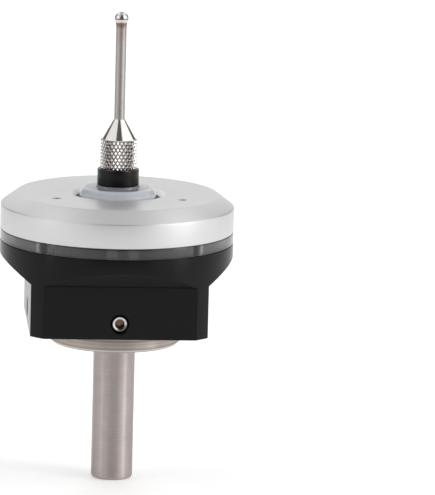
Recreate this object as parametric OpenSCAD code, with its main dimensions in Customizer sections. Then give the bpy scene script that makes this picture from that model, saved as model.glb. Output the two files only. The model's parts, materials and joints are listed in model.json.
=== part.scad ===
// Touch-trigger edge finder on a 6 mm shank.
// Origin: centre of the flange face that seats against the spindle nose.
// +Z runs up the stylus, -Y is the front flat, millimetres throughout.

/* [Shank and flange] */
// Diameter of the ground shank that the spindle grips
shank_d = 6; // [4:0.5:8]
// Length of the shank below the flange
shank_len = 20.1; // [12:0.1:40]
// Chamfer on the free end of the shank
shank_chamfer = 0.5; // [0.2:0.1:1]
// Diameter of the flange that the housing is centred on
flange_d = 19; // [17:0.1:19.2]
// Height of the flange that shows below the housing
flange_show = 2.65; // [1.5:0.05:5]
// Height of the flange that sits inside the housing
flange_grip = 3.15; // [3:0.05:4]
// Polished chamfer round the lower edge of the flange
flange_chamfer = 0.5; // [0.1:0.05:0.8]
// Gap round the flange that the four set screws centre it in
centring_play = 0.4; // [0.1:0.05:0.6]

/* [Housing] */
// Diameter of the housing, the light ring and the cover
body_d = 33.6; // [33:0.1:40]
// Height of the black housing
housing_h = 12.25; // [12:0.05:16]
// Thickness of the wall that each set screw is threaded through
screw_wall = 2.8; // [2.7:0.1:4]
// Height of each flat before it starts to run out
flat_h = 7.55; // [7.4:0.05:7.9]
// Height over which a flat runs out to the round wall
runout_h = 2.7; // [1:0.05:3]
// Thickness of the floor that the shank screw clamps
floor_t = 2.2; // [1.8:0.1:2.4]
// Fine bevel on the outer rims, which shows as a joint line
rim_bevel = 0.12; // [0.05:0.01:0.3]

/* [Light ring] */
// Height of the smoked ring that shows
ring_h = 1.6; // [1:0.1:4]
// Radial thickness of the smoked ring
ring_wall = 1.85; // [1.7:0.05:1.95]
// Height of the lip that locates the ring above and below
lip_h = 0.6; // [0.4:0.05:0.8]
// Radial thickness of the locating lip
lip_t = 0.8; // [0.5:0.05:1]

/* [Cover] */
// Height of the silver cover
cover_h = 5.2; // [5:0.1:7]
// Radial width of the bevel round the top of the cover
bevel_w = 2.3; // [1:0.1:2.8]
// Height of that bevel
bevel_h = 1.7; // [0.8:0.1:2]
// Thickness of the cover's roof
roof_t = 2.7; // [2.4:0.1:2.9]
// Diameter of the mouth that the boot stands in, below its chamfer
mouth_d = 12.4; // [12.4:0.1:14]
// Chamfer round the mouth
mouth_bevel = 0.7; // [0.2:0.05:0.8]

/* [Fasteners] */
// Diameter of the four long screws that clamp the stack
long_screw_d = 2; // [1.6:0.1:2.1]
// Length of those screws below the head
long_screw_len = 14; // [13:0.1:14.6]
// Diameter of the four centring set screws
grub_d = 2.5; // [2:0.1:2.6]
// Size across the flats of the set screws' hexagon socket
grub_key = 1.3; // [0.9:0.1:1.3]
// Diameter of the screw that holds the shank to the housing
shank_screw_d = 3; // [2.5:0.1:3.2]
// Diameter of the three screws that hold the seat plate
seat_screw_d = 1.6; // [1.4:0.1:1.7]

/* [Kinematic seat] */
// Diameter of the six seat balls
seat_ball_d = 2; // [1.8:0.05:2.1]
// Distance from the centre line to each pair of balls
seat_r = 4.2; // [4.1:0.05:4.8]
// Distance between the two balls of a pair
ball_pitch = 2.2; // [2.16:0.01:2.4]
// Diameter of the three arms of the spider
arm_d = 1.5; // [1.2:0.05:1.6]
// Drop from full seating that leaves the arms free to tilt
seat_gap = 0.5; // [0.45:0.01:0.7]
// Thickness of the seat plate
seat_plate_t = 1.4; // [1.2:0.05:1.5]

/* [Spring and pivot] */
// Diameter of the pivot ball under the spider
pivot_ball_d = 2; // [1.6:0.1:2]
// Mean diameter of the coil spring
spring_d = 7.2; // [7.1:0.05:7.4]
// Diameter of the spring wire
wire_d = 0.5; // [0.3:0.05:0.55]
// Turns of the coil spring
spring_turns = 4; // [2:1:4]

/* [Boot and sleeve] */
// Diameter of the rubber boot in the mouth
boot_d = 11; // [10:0.1:11.2]
// Diameter of the boot's top face
boot_top_d = 10; // [8:0.1:10.4]
// Height of the boot above the cover
boot_rise = 0.9; // [0.4:0.05:1.5]
// Depth of the boot's skirt below the top of the cover
boot_skirt = 0.5; // [0.2:0.05:0.5]
// Diameter of the boot's collar
collar_d = 6.35; // [6:0.05:8]
// Height of the collar above the boot's top face
collar_h = 0.3; // [0.2:0.05:2]
// Diameter of the black sleeve
sleeve_d = 6; // [5.6:0.05:7]
// Height of the black sleeve
sleeve_h = 2.35; // [1:0.05:6]

/* [Stylus] */
// Diameter of the measuring ball
tip_ball_d = 2; // [1.6:0.1:4]
// Diameter of the stylus rod
rod_d = 1.5; // [0.8:0.1:1.5]
// Length of rod that shows between the nose and the ball's centre
rod_show = 14.55; // [5:0.05:40]
// Diameter over the knurl of the stylus base
knurl_d = 5.3; // [5:0.05:5.4]
// Length of the knurl
knurl_len = 3.9; // [2:0.1:8]
// Diamonds round the knurl
knurl_teeth = 28; // [16:2:40]
// Depth of the knurl
knurl_depth = 0.17; // [0.05:0.01:0.25]
// Length of the polished nose cone
nose_len = 3.1; // [2:0.1:8]
// Wall round the rod at the tip of the nose
nose_wall = 0.03; // [0.02:0.01:0.4]
// Height of the round land below the nose cone
nose_land = 0.25; // [0.1:0.05:0.6]

/* [Lead socket] */
// Width of the socket's steel shell
socket_w = 8.94; // [8:0.01:9.2]
// Height of the socket's steel shell
socket_h = 3.2; // [3:0.01:3.25]
// Depth of the socket
socket_depth = 7.3; // [6:0.1:7.4]

/* [Hidden] */
$fn = 96;

// Clearances
assembly_gap = 0.1;
running_gap = 0.04;
socket_gap = 0.05;
tip_gap = 0.06;
spring_play = 0.25;
cut = 1;
arc_steps = 6;

// Half sizes
shank_r = shank_d / 2;
flange_r = flange_d / 2;
body_r = body_d / 2;
flat_x = flange_r + centring_play + screw_wall;
long_screw_r = long_screw_d / 2;
grub_r = grub_d / 2;
shank_screw_r = shank_screw_d / 2;
seat_screw_r = seat_screw_d / 2;
seat_ball_r = seat_ball_d / 2;
arm_r = arm_d / 2;
pivot_r = pivot_ball_d / 2;
coil_r = spring_d / 2;
wire_r = wire_d / 2;
tip_r = tip_ball_d / 2;
rod_r = rod_d / 2;
knurl_r = knurl_d / 2;
sleeve_r = sleeve_d / 2;
mouth_r = mouth_d / 2;

// Levels of the outer stack
flange_top = flange_show + flange_grip;
floor_top = flange_top + floor_t;
flat_top = flange_show + flat_h;
runout_top = flat_top + runout_h;
flat_angles = [0, 90, 180, 270];
runout_slope = runout_h / (body_r - flat_x);
housing_top = flange_show + housing_h;
ring_top = housing_top + ring_h;
cover_top = ring_top + cover_h;
roof_z = cover_top - roof_t;

// Long screws, and the round cavity inside their circle
long_screw_inset = 2.9;
long_screw_circle = body_r - long_screw_inset;
long_screw_angles = [45, 135, 225, 315];
long_head_r = 1.9;
long_head_h = 2;
long_key = 1.5;
long_key_depth = 1;
long_screw_land = 0.9;
long_seat_z = flange_show + long_head_h + assembly_gap;
long_end_z = long_seat_z + long_screw_len;
cavity_r = long_screw_circle - long_screw_r - long_screw_land;

// Light ring and the rebates for its lips
ring_in = body_r - ring_wall;
lip_out = ring_in + lip_t;
rebate_r = lip_out + socket_gap;
rebate_h = lip_h + socket_gap;

// Cover
edge_break = 0.14;
thread_spare = 0.3;

// Lead socket, sunk in the housing's floor
socket_floor = 0.75;
socket_z = flange_top + socket_floor;
socket_mid_z = socket_z + socket_h / 2;
socket_back = flat_x - socket_depth;
socket_wall = 0.3;
socket_base = 1.4;
tongue_w = 6.69;
tongue_t = 0.7;
tongue_short = 0.8;
contact_count = 6;
contact_pitch = 1;
contact_w = 0.5;
contact_t = 0.08;

// Boards and the shelves that they rest on
board_t = 0.8;
lamp_shelf_drop = 1.3;
lamp_shelf_w = 1.6;
lamp_board_z = housing_top - lamp_shelf_drop;
lamp_board_top = lamp_board_z + board_t;
main_shelf_w = 1;
main_board_z = socket_z + socket_h;
mid_r = cavity_r - lamp_shelf_w;
low_r = mid_r - main_shelf_w;
lamp_w = 1.8;
lamp_deep = 1;
lamp_h = 0.75;
lamp_inset = 0.25;
pin_inset = 0.2;
pin_circle = low_r - pin_inset;
pin_r = 0.25;
pin_proud = 0.3;
pin_angles = [255, 265, 275, 285];
post_inset = 0.1;
post_circle = low_r - post_inset;
post_r = 0.5;
post_tip_r = 0.3;
post_share = 0.6;
post_angles = [0, 180];

// Kinematic seat, from the plate down
seat_z = roof_z - seat_plate_t;
seat_reach = sqrt(pow(seat_ball_r + arm_r, 2) - pow(ball_pitch / 2, 2));
arm_z = seat_z - seat_reach - seat_gap;
arm_angles = [30, 150, 270];
arm_root = 2.4;
arm_over = 1.4;
arm_end = seat_r + arm_over;
arm_chamfer = 0.15;
plate_hole_r = 3;
pocket_gap = 0.02;
hub_half_h = 1.15;
hub_r = 3.5;
hub_chamfer = 0.3;
hub_bottom = arm_z - hub_half_h;
arm_room = 1;
lamp_board_hole = arm_end + arm_room;

// Screws that hold the seat plate, and the holes over their ends
seat_screw_inset = 1.6;
seat_screw_circle = cavity_r - seat_screw_inset;
seat_screw_angles = [90, 210, 330];
seat_head_r = 1.5;
seat_head_h = 0.9;
seat_slot_w = 0.35;
seat_slot_h = 0.4;
peep_r = 0.62;
peep_depth = 0.9;

// Pivot, spring cap and spring
stem_r = 2;
pivot_bore = 0.45;
cap_gap = 0.5;
cap_t = 0.8;
cap_post_r = 0.8;
cap_boss_h = 0.5;
cap_top = hub_bottom - cap_gap;
cap_bottom = cap_top - cap_t;
cap_rim = 0.35;
cap_r = coil_r + wire_r + cap_rim;
cap_boss_r = coil_r - wire_r - spring_play;
cup_base = 0.6;
cup_rim = 0.6;
cup_h = 1.3;
cup_in = coil_r + wire_r + spring_play;
cup_r = cup_in + cup_rim;
spring_low = floor_top + cup_base;
coil_steps = 16;
wire_sides = 6;

// Shank screw and its spring washer
washer_r = 3;
washer_t = 0.4;
shank_head_r = 2.75;
shank_head_h = 1.65;
shank_head_chamfer = 0.3;
shank_screw_len = 5.2;
shank_key = 2;
shank_key_depth = 1;
shank_head_z = floor_top + washer_t;
shank_screw_end = shank_head_z - shank_screw_len;

// Set screws and the groove that their points stand in
grub_height = 2.2;
grub_z = flange_show + grub_height;
grub_sink = 0.35;
grub_tip_r = 0.3;
grub_key_depth = 1.2;
grub_bevel = 0.2;
groove_depth = 0.5;
grub_tip_x = flange_r - groove_depth + tip_gap;
grub_out_x = flat_x - grub_sink;

// Boot, sleeve and stem
boot_top_z = cover_top + boot_rise;
boot_low_z = cover_top - boot_skirt;
boot_wall = 0.9;
boot_round = 0.25;
boot_lean = 20;
collar_fillet = 0.1;
collar_top = boot_top_z + collar_h;
sleeve_top = collar_top + sleeve_h;
sleeve_rim_h = 0.25;
sleeve_bevel = 0.15;
stem_top = sleeve_top - sleeve_rim_h;

// Stylus
stud_r = 1;
stud_len = 4;
stud_chamfer = 0.2;
shoulder_drop = 0.25;
shoulder_r = knurl_r - shoulder_drop;
knurl_lift = 0.05;
knurl_pitch = 1.1;
knurl_rows = 2 * round(knurl_len / knurl_pitch);
knurl_low_r = knurl_r - knurl_depth;
knurl_z = sleeve_top + knurl_lift;
knurl_top = knurl_z + knurl_len;
neck_h = 0.15;
neck_drop = 0.2;
neck_r = knurl_low_r - neck_drop;
nose_z = knurl_top + neck_h;
nose_top = nose_z + nose_len;
nose_tip_r = rod_r + nose_wall;
rod_seat = 3.4;
rod_low = nose_top - rod_seat;
tip_z = nose_top + rod_show;

// Points of a round corner, from one angle to another
function arc(centre, radius, from_a, to_a) = [
  for (i = [0:arc_steps])
    let (a = from_a + (to_a - from_a) * i / arc_steps)
    centre + radius * [cos(a), sin(a)]
];

// A solid turned from a half outline of [radius, height] points
module turned(outline) {
  rotate_extrude() polygon(outline);
}

// A straight round bar between two levels
module bar(radius, low, high) {
  translate([0, 0, low]) cylinder(r = radius, h = high - low);
}

// A flat washer or board between two levels
module washer(radius, hole, low, high) {
  difference() {
    bar(radius, low, high);
    bar(hole, low - cut, high + cut);
  }
}

// Copies of a shape round the centre line
module around(angles, radius) {
  for (a = angles) rotate([0, 0, a]) translate([radius, 0, 0]) children();
}

// A hexagon socket sunk into a level from above
module hexagon_socket(across, depth) {
  translate([0, 0, -depth]) cylinder(r = across / 2 / cos(30), h = depth + cut, $fn = 6);
}

// Outline with two flat sides and two round ends
module stadium(w, h) {
  square([w - h, h], center = true);
  for (side = [-1, 1]) translate([side * (w - h) / 2, 0]) circle(d = h);
}

// The shape of the lead socket, run along +Y between two places
module socket_run(w, h, from_y, to_y) {
  translate([0, to_y, socket_mid_z]) rotate([90, 0, 0]) linear_extrude(to_y - from_y) stadium(w, h);
}

module shank() {
  color("#b7b1ad")
  difference() {
    turned([
      [0, -shank_len],
      [shank_r - shank_chamfer, -shank_len],
      [shank_r, -shank_len + shank_chamfer],
      [shank_r, 0],
      [flange_r - flange_chamfer, 0],
      [flange_r, flange_chamfer],
      [flange_r, grub_z - grub_tip_r - groove_depth],
      [flange_r - groove_depth, grub_z - grub_tip_r],
      [flange_r - groove_depth, grub_z + grub_tip_r],
      [flange_r, grub_z + grub_tip_r + groove_depth],
      [flange_r, flange_top],
      [0, flange_top]
    ]);
    bar(shank_screw_r, shank_screw_end - thread_spare, flange_top + cut);
  }
}

// Round bar with fine bevels, before the flats are milled
module housing_bar() {
  turned([
    [0, flange_show],
    [body_r - rim_bevel, flange_show],
    [body_r, flange_show + rim_bevel],
    [body_r, housing_top - rim_bevel],
    [body_r - rim_bevel, housing_top],
    [0, housing_top]
  ]);
}

// What the mill takes off for the flat on the +X side
module flat_cut() {
  rotate([90, 0, 0]) linear_extrude(2 * body_r, center = true) polygon([
    [flat_x, flange_show - cut],
    [flat_x, flat_top],
    [body_r + cut, runout_top + cut * runout_slope],
    [body_r + cut, flange_show - cut]
  ]);
}

// Threaded hole with its countersunk mouth, for the set screw on the +X side
module grub_hole() {
  hole_r = grub_r + running_gap;
  translate([flange_r, 0, grub_z]) rotate([0, 90, 0]) cylinder(r = hole_r, h = flat_x + cut - flange_r);
  translate([flat_x - grub_bevel, 0, grub_z]) rotate([0, 90, 0])
    cylinder(r1 = hole_r, r2 = hole_r + 2 * grub_bevel, h = 2 * grub_bevel);
}

module housing() {
  color("#1c1c1e")
  difference() {
    housing_bar();
    for (a = flat_angles) rotate([0, 0, a]) {
      flat_cut();
      grub_hole();
    }
    bar(flange_r + centring_play, flange_show - cut, flange_top);
    bar(shank_screw_r + centring_play, flange_top - cut, floor_top + cut);
    bar(low_r, floor_top, housing_top);
    bar(mid_r, main_board_z, housing_top);
    bar(cavity_r, lamp_board_z, housing_top + cut);
    bar(rebate_r, housing_top - rebate_h, housing_top + cut);
    around(long_screw_angles, long_screw_circle) {
      bar(long_head_r + assembly_gap, flange_show - cut, long_seat_z);
      bar(long_screw_r + assembly_gap, long_seat_z - cut, housing_top);
    }
    socket_run(socket_w + 2 * socket_gap, socket_h + 2 * socket_gap, socket_back - socket_gap, body_r);
  }
}

module shank_screw() {
  color("#3a3a3c")
  difference() {
    union() {
      bar(shank_screw_r, shank_screw_end, shank_head_z + shank_head_chamfer);
      turned([
        [0, shank_head_z],
        [shank_head_r, shank_head_z],
        [shank_head_r, shank_head_z + shank_head_h - shank_head_chamfer],
        [shank_head_r - shank_head_chamfer, shank_head_z + shank_head_h],
        [0, shank_head_z + shank_head_h]
      ]);
    }
    translate([0, 0, shank_head_z + shank_head_h]) hexagon_socket(shank_key, shank_key_depth);
  }
}

module shank_washer() {
  color("#9a9a98") washer(washer_r, shank_screw_r + assembly_gap, floor_top, shank_head_z);
}

module light_ring() {
  color("#5d5f62", 0.8)
  turned([
    [ring_in, housing_top - lip_h],
    [lip_out, housing_top - lip_h],
    [lip_out, housing_top],
    [body_r - rim_bevel, housing_top],
    [body_r, housing_top + rim_bevel],
    [body_r, ring_top - rim_bevel],
    [body_r - rim_bevel, ring_top],
    [lip_out, ring_top],
    [lip_out, ring_top + lip_h],
    [ring_in, ring_top + lip_h]
  ]);
}

module cover() {
  color("#cfd1d3")
  difference() {
    turned([
      [rebate_r, ring_top],
      [body_r - rim_bevel, ring_top],
      [body_r, ring_top + rim_bevel],
      [body_r, cover_top - bevel_h - edge_break],
      [body_r - edge_break, cover_top - bevel_h + edge_break / 2],
      [body_r - bevel_w + edge_break, cover_top - edge_break / 2],
      [body_r - bevel_w - edge_break, cover_top],
      [mouth_r + mouth_bevel, cover_top],
      [mouth_r, cover_top - mouth_bevel],
      [mouth_r, roof_z],
      [cavity_r, roof_z],
      [cavity_r, ring_top + rebate_h],
      [rebate_r, ring_top + rebate_h]
    ]);
    around(long_screw_angles, long_screw_circle)
      bar(long_screw_r, ring_top, long_end_z + thread_spare);
    around(seat_screw_angles, seat_screw_circle) {
      bar(seat_screw_r, roof_z - cut, cover_top - peep_depth);
      bar(peep_r, roof_z, cover_top + cut);
    }
  }
}

// Long socket-head screw, standing head down
module long_screw() {
  difference() {
    union() {
      bar(long_head_r, flange_show + assembly_gap, long_seat_z);
      bar(long_screw_r, long_seat_z - cut, long_end_z);
    }
    translate([0, 0, flange_show + assembly_gap]) mirror([0, 0, 1]) hexagon_socket(long_key, long_key_depth);
  }
}

module long_screws() {
  color("#3a3a3c") around(long_screw_angles, long_screw_circle) long_screw();
}

// Set screw with a cone point, for the hole on the +X side
module set_screw() {
  difference() {
    translate([grub_tip_x, 0, grub_z]) rotate([0, 90, 0]) turned([
      [0, 0],
      [grub_tip_r, 0],
      [grub_r, grub_r - grub_tip_r],
      [grub_r, grub_out_x - grub_tip_x - grub_bevel],
      [grub_r - grub_bevel, grub_out_x - grub_tip_x],
      [0, grub_out_x - grub_tip_x]
    ]);
    translate([grub_out_x, 0, grub_z]) rotate([0, 90, 0]) hexagon_socket(grub_key, grub_key_depth);
  }
}

module set_screw_front() {
  color("#8a8a8c") rotate([0, 0, 270]) set_screw();
}

module set_screw_back() {
  color("#8a8a8c") rotate([0, 0, 90]) set_screw();
}

module set_screw_left() {
  color("#8a8a8c") rotate([0, 0, 180]) set_screw();
}

module set_screw_right() {
  color("#8a8a8c") set_screw();
}

// The six ball places, in pairs that each hold one arm
module at_seats() {
  for (a = arm_angles, side = [-1, 1])
    rotate([0, 0, a]) translate([seat_r, side * ball_pitch / 2, seat_z]) children();
}

module seat_plate() {
  color("#2f6b45")
  difference() {
    washer(cavity_r - assembly_gap, plate_hole_r, seat_z, roof_z);
    at_seats() translate([0, 0, -cut]) cylinder(r = seat_ball_r + pocket_gap, h = cut + seat_ball_r);
    around(seat_screw_angles, seat_screw_circle) bar(seat_screw_r + assembly_gap, seat_z - cut, roof_z + cut);
  }
}

module seat_balls() {
  color("#d8dade") at_seats() sphere(r = seat_ball_r);
}

// Slotted screw, driven up through the seat plate into the cover's roof
module seat_screw() {
  head_z = seat_z - seat_head_h;
  difference() {
    union() {
      bar(seat_head_r, head_z, seat_z);
      bar(seat_screw_r, head_z + seat_slot_h, cover_top - peep_depth - assembly_gap);
    }
    translate([-seat_head_r - cut, -seat_slot_w / 2, head_z - cut])
      cube([2 * (seat_head_r + cut), seat_slot_w, cut + seat_slot_h]);
  }
}

module seat_screws() {
  color("#77787b") around(seat_screw_angles, seat_screw_circle) seat_screw();
}

module lamp_board() {
  color("#e9e9e4")
  difference() {
    washer(cavity_r - assembly_gap, lamp_board_hole, lamp_board_z, lamp_board_top);
    around(pin_angles, pin_circle) bar(pin_r, lamp_board_z - cut, lamp_board_top + cut);
  }
}

// One lamp: a small block with a round lens that looks outwards
module lamp() {
  translate([-lamp_deep, -lamp_w / 2, lamp_board_top]) cube([lamp_deep / 2, lamp_w, lamp_h]);
  intersection() {
    translate([-lamp_deep / 2, 0, 0]) bar(lamp_w / 2, lamp_board_top, lamp_board_top + lamp_h);
    translate([-lamp_deep / 2, -lamp_w / 2, lamp_board_top]) cube([lamp_deep / 2, lamp_w, lamp_h]);
  }
}

module lamps() {
  color("#f4f1d8") around(flat_angles, cavity_r - lamp_inset) lamp();
}

module contact_posts() {
  post_h = seat_z - lamp_board_top;
  color("#c9a24a")
  around(post_angles, post_circle) turned([
    [0, lamp_board_top],
    [post_r, lamp_board_top],
    [post_r, lamp_board_top + post_share * post_h],
    [post_tip_r, lamp_board_top + post_share * post_h],
    [post_tip_r, seat_z],
    [0, seat_z]
  ]);
}

module main_board() {
  color("#2f6b45")
  difference() {
    washer(mid_r - assembly_gap, cup_r + assembly_gap, main_board_z, main_board_z + board_t);
    around(pin_angles, pin_circle) bar(pin_r, main_board_z - cut, main_board_z + board_t + cut);
  }
}

module board_pins() {
  color("#c9a24a") around(pin_angles, pin_circle) bar(pin_r, main_board_z, lamp_board_top + pin_proud);
}

module socket_shell() {
  color("#b9bbbd")
  difference() {
    socket_run(socket_w, socket_h, socket_back, flat_x);
    socket_run(socket_w - 2 * socket_wall, socket_h - 2 * socket_wall, socket_back - cut, flat_x + cut);
  }
}

module socket_tongue() {
  color("#26262a") {
    socket_run(socket_w - 2 * socket_wall, socket_h - 2 * socket_wall, socket_back, socket_back + socket_base);
    translate([-tongue_w / 2, socket_back, socket_mid_z - tongue_t / 2])
      cube([tongue_w, socket_depth - tongue_short, tongue_t]);
  }
}

module socket_contacts() {
  color("#c9a24a")
  for (i = [1:contact_count], side = [0, 1])
    translate([
      (i - (contact_count + 1) / 2) * contact_pitch - contact_w / 2,
      socket_back + socket_base,
      socket_mid_z - tongue_t / 2 - contact_t + side * (tongue_t + contact_t)
    ])
    cube([contact_w, socket_depth - socket_base - 2 * tongue_short, contact_t]);
}

module spring_seat() {
  color("#e4e2da")
  turned([
    [washer_r + assembly_gap, floor_top],
    [cup_r, floor_top],
    [cup_r, floor_top + cup_h],
    [cup_in, floor_top + cup_h],
    [cup_in, spring_low],
    [washer_r + assembly_gap, spring_low]
  ]);
}

// Points round the spring wire at one place along the coil
function wire_ring(turn, rise, low) =
  let (a = 360 * turn, lean = atan(rise / (2 * PI * coil_r)))
  [for (i = [0:wire_sides - 1])
    let (s = (180 + 360 * i) / wire_sides, out = coil_r + wire_r * cos(s), side = wire_r * sin(s) * sin(lean))
    [
      out * cos(a) + side * sin(a),
      out * sin(a) - side * cos(a),
      low + rise * turn + wire_r * sin(s) * cos(lean)
    ]
  ];

module spring() {
  rise = (cap_bottom - spring_low - wire_d) / spring_turns;
  rings = spring_turns * coil_steps;
  points = [for (k = [0:rings]) each wire_ring(k / coil_steps, rise, spring_low + wire_r)];
  function corner(k, i) = k * wire_sides + i % wire_sides;
  sides = [
    for (k = [0:rings - 1], i = [0:wire_sides - 1]) each [
      [corner(k, i), corner(k, i + 1), corner(k + 1, i)],
      [corner(k, i + 1), corner(k + 1, i + 1), corner(k + 1, i)]
    ]
  ];
  ends = [
    [for (i = [wire_sides - 1:-1:0]) corner(0, i)],
    [for (i = [0:wire_sides - 1]) corner(rings, i)]
  ];
  color("#a8aaac") polyhedron(points, concat(sides, ends));
}

module spring_cap() {
  color("#c2a15a")
  difference() {
    union() {
      bar(cap_boss_r, cap_bottom - cap_boss_h, cap_bottom + cap_t / 2);
      bar(cap_r, cap_bottom, cap_top);
      bar(cap_post_r, cap_bottom, arm_z);
    }
    translate([0, 0, arm_z]) sphere(r = pivot_r + running_gap);
  }
}

module pivot_ball() {
  color("#d8dade") translate([0, 0, arm_z]) sphere(r = pivot_r);
}

module spider_hub() {
  color("#d9d4c4")
  difference() {
    turned([
      [stem_r, hub_bottom],
      [hub_r - hub_chamfer, hub_bottom],
      [hub_r, hub_bottom + hub_chamfer],
      [hub_r, arm_z + hub_half_h - hub_chamfer],
      [hub_r - hub_chamfer, arm_z + hub_half_h],
      [stem_r, arm_z + hub_half_h]
    ]);
    around(arm_angles, arm_root) translate([0, 0, arm_z]) rotate([0, 90, 0]) cylinder(r = arm_r, h = hub_r);
  }
}

module spider_arms() {
  color("#c8cacd")
  around(arm_angles, arm_root) translate([0, 0, arm_z]) rotate([0, 90, 0]) turned([
    [0, 0],
    [arm_r, 0],
    [arm_r, arm_end - arm_root - arm_chamfer],
    [arm_r - arm_chamfer, arm_end - arm_root],
    [0, arm_end - arm_root]
  ]);
}

module stem() {
  color("#9d9fa2")
  difference() {
    bar(stem_r, hub_bottom, stem_top);
    bar(pivot_r + pivot_bore, hub_bottom - cut, arm_z);
    translate([0, 0, arm_z]) sphere(r = pivot_r + running_gap);
    bar(stud_r + running_gap, stem_top - stud_len - assembly_gap, stem_top + cut);
  }
}

module boot() {
  boot_r = boot_d / 2;
  top_r = boot_top_d / 2;
  collar_r = collar_d / 2;
  color("#9fb0bd", 0.85)
  turned(concat(
    [
      [stem_r, boot_top_z - boot_wall],
      [boot_r - boot_wall - boot_round, boot_top_z - boot_wall],
      [boot_r - boot_wall, boot_low_z],
      [boot_r, boot_low_z],
      [boot_r, cover_top]
    ],
    arc([top_r - boot_round, boot_top_z - boot_round], boot_round, boot_lean, 90),
    [
      [collar_r + collar_fillet, boot_top_z],
      [collar_r, boot_top_z + collar_fillet],
      [collar_r, collar_top],
      [stem_r, collar_top]
    ]
  ));
}

module sleeve() {
  color("#1d1d1f")
  turned([
    [stem_r, collar_top],
    [sleeve_r - sleeve_bevel, collar_top],
    [sleeve_r, collar_top + sleeve_bevel],
    [sleeve_r, sleeve_top - sleeve_bevel],
    [sleeve_r - sleeve_bevel, sleeve_top],
    [shoulder_r + assembly_gap, sleeve_top],
    [shoulder_r + assembly_gap, stem_top],
    [stem_r, stem_top]
  ]);
}

// Diamond knurl: crests and crossings alternate round and along the grip
module knurl() {
  columns = 2 * knurl_teeth;
  function corner(j, k) = j * columns + k % columns;
  function low(j, k) = (j + k) % 2 == 0 || j == 0 || j == knurl_rows;
  points = [
    for (j = [0:knurl_rows], k = [0:columns - 1])
      let (a = 360 * k / columns, radius = low(j, k) ? knurl_low_r : knurl_r)
      [radius * cos(a), radius * sin(a), knurl_z + knurl_len * j / knurl_rows]
  ];
  cells = [
    for (j = [0:knurl_rows - 1], k = [0:columns - 1])
      let (a = corner(j, k), b = corner(j, k + 1), c = corner(j + 1, k + 1), d = corner(j + 1, k))
      each (j + k) % 2 == 0 ? [[a, d, c], [a, c, b]] : [[a, d, b], [d, c, b]]
  ];
  ends = [
    [for (k = [0:columns - 1]) corner(0, k)],
    [for (k = [columns - 1:-1:0]) corner(knurl_rows, k)]
  ];
  polyhedron(points, concat(cells, ends));
}

module stylus_base() {
  color("#bfc1c4")
  difference() {
    union() {
      turned([
        [0, stem_top - stud_len],
        [stud_r - stud_chamfer, stem_top - stud_len],
        [stud_r, stem_top - stud_len + stud_chamfer],
        [stud_r, stem_top],
        [shoulder_r, stem_top],
        [shoulder_r, knurl_z],
        [neck_r, knurl_z + neck_h],
        [neck_r, nose_z],
        [knurl_low_r, nose_z],
        [knurl_low_r, nose_z + nose_land],
        [nose_tip_r, nose_top],
        [0, nose_top]
      ]);
      knurl();
    }
    bar(rod_r, rod_low, nose_top + cut);
  }
}

module stylus_rod() {
  color("#c5c3c0")
  difference() {
    bar(rod_r, rod_low, tip_z);
    translate([0, 0, tip_z]) sphere(r = tip_r);
  }
}

module stylus_ball() {
  color("#e2e4e6") translate([0, 0, tip_z]) sphere(r = tip_r);
}

shank();
housing();
shank_screw();
shank_washer();
light_ring();
cover();
long_screws();
set_screw_front();
set_screw_back();
set_screw_left();
set_screw_right();
seat_plate();
seat_balls();
seat_screws();
lamp_board();
lamps();
contact_posts();
main_board();
board_pins();
socket_shell();
socket_tongue();
socket_contacts();
spring_seat();
spring();
spring_cap();
pivot_ball();
spider_hub();
spider_arms();
stem();
boot();
sleeve();
stylus_base();
stylus_rod();
stylus_ball();
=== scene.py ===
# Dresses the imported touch-trigger edge finder. Sizes are in millimetres here and metres in the scene.
import bmesh
import bpy
import json
from math import acos, cos, degrees, pi, radians, sin, sqrt, tan
from mathutils import Matrix, Vector

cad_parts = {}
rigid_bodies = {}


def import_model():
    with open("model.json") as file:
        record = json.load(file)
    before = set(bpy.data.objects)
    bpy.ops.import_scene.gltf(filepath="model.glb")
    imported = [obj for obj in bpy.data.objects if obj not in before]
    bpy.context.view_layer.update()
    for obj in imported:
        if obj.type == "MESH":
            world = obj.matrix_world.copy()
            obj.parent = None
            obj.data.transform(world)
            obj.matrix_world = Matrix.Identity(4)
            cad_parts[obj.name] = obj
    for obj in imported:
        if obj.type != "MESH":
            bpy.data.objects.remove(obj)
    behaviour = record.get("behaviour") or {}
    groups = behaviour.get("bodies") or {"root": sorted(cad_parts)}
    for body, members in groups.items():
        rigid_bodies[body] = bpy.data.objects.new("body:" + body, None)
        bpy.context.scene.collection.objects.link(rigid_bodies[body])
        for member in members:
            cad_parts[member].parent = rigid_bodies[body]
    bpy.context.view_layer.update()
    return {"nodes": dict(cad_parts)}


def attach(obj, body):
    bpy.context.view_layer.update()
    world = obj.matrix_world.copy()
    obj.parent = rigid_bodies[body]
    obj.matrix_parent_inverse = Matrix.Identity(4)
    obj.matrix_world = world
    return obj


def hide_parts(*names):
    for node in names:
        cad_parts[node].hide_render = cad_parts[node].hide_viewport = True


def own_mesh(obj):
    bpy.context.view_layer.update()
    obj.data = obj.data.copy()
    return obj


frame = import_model()
mm = 0.001


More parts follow.
